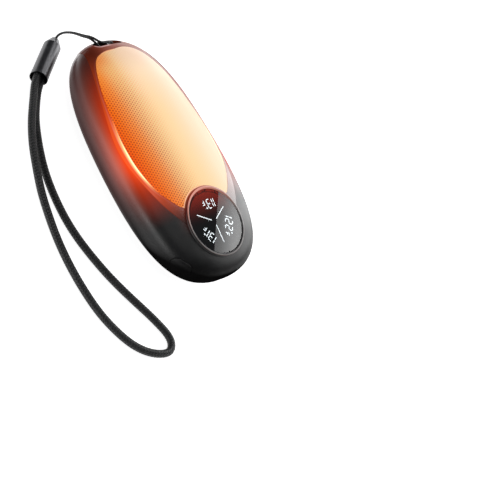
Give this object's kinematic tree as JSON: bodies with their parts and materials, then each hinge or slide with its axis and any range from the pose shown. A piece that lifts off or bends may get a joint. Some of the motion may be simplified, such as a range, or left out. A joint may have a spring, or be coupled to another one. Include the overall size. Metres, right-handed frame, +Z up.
{
  "type": "rechargeable hand warmer",
  "caption": "Palm-sized pebble-shaped rechargeable hand warmer with a glowing amber heat window, round temperature display, side power button, charging socket and wrist lanyard.",
  "frame": {"origin": "on the floor under the middle of the body, the lanyard left out", "axes": "+X along the body towards the display end, +Y across it away from the power button, +Z up out of the window side; the warmer lies on its back"},
  "size_m": [0.132, 0.0863, 0.0222],
  "materials": {
    "soft_touch_shell": "matte soft-touch",
    "rear_shell": "matte soft-touch",
    "gloss_cover": "gloss",
    "amber_window": "gloss, translucent",
    "clear_acrylic": "gloss",
    "lamp_strip": "gloss",
    "heater_film": "satin",
    "heat_spreader": "satin",
    "foam": "matte",
    "ceramic": "matte",
    "red_wire": "satin",
    "display_glass": "polished",
    "gasket": "matte",
    "display_mask": "matte",
    "display_light": "gloss, lit",
    "circuit_board": "satin",
    "lamps": "gloss",
    "screws": "brushed",
    "ribbon": "satin",
    "socket_plastic": "matte",
    "chips": "matte",
    "ferrite": "matte",
    "socket_steel": "brushed",
    "socket_core": "matte",
    "switch_housing": "matte",
    "switch_plunger": "satin",
    "button_cap": "matte",
    "battery_foil": "satin foil",
    "bar_steel": "black finish",
    "thin_cord": "woven",
    "ferrule_metal": "gloss black finish",
    "braided_cord": "braided"
  },
  "bodies": {
    "body": {"casing": "soft_touch_shell", "rear_cover": "rear_shell", "front_cover": "gloss_cover", "heat_window": "amber_window", "light_guide": "clear_acrylic", "led_strip_left": "lamp_strip", "led_strip_right": "lamp_strip", "heater_film": "heater_film", "heat_spreader": "heat_spreader", "insulation_pad": "foam", "thermistor": "ceramic", "heater_leads": "red_wire", "display_glass": "display_glass", "display_gasket": "gasket", "display_mask": "display_mask", "display_segments": "display_light", "display_board": "circuit_board", "display_leds": "lamps", "display_screws": "screws", "display_ribbon": "ribbon", "ribbon_socket": "socket_plastic", "main_board": "circuit_board", "board_screws": "screws", "board_chips": "chips", "board_capacitors": "ceramic", "power_inductor": "ferrite", "usb_shell": "socket_steel", "usb_tongue": "socket_core", "switch_body": "switch_housing", "battery_cell": "battery_foil", "battery_pad": "foam", "protection_board": "circuit_board", "battery_leads": "red_wire", "lanyard_bar": "bar_steel", "lanyard_tie": "thin_cord", "lanyard_ferrule": "ferrule_metal", "lanyard_cord": "braided_cord"},
    "button": {"power_button": "button_cap", "switch_plunger": "switch_plunger"}
  },
  "joints": [
    {"name": "power_button_press", "type": "slide", "parent": "body", "child": "button", "axis": [-0.5718, 0.8204, 0], "range_m": [0, 0.0005], "stiffness_N_per_m": 800}
  ]
}
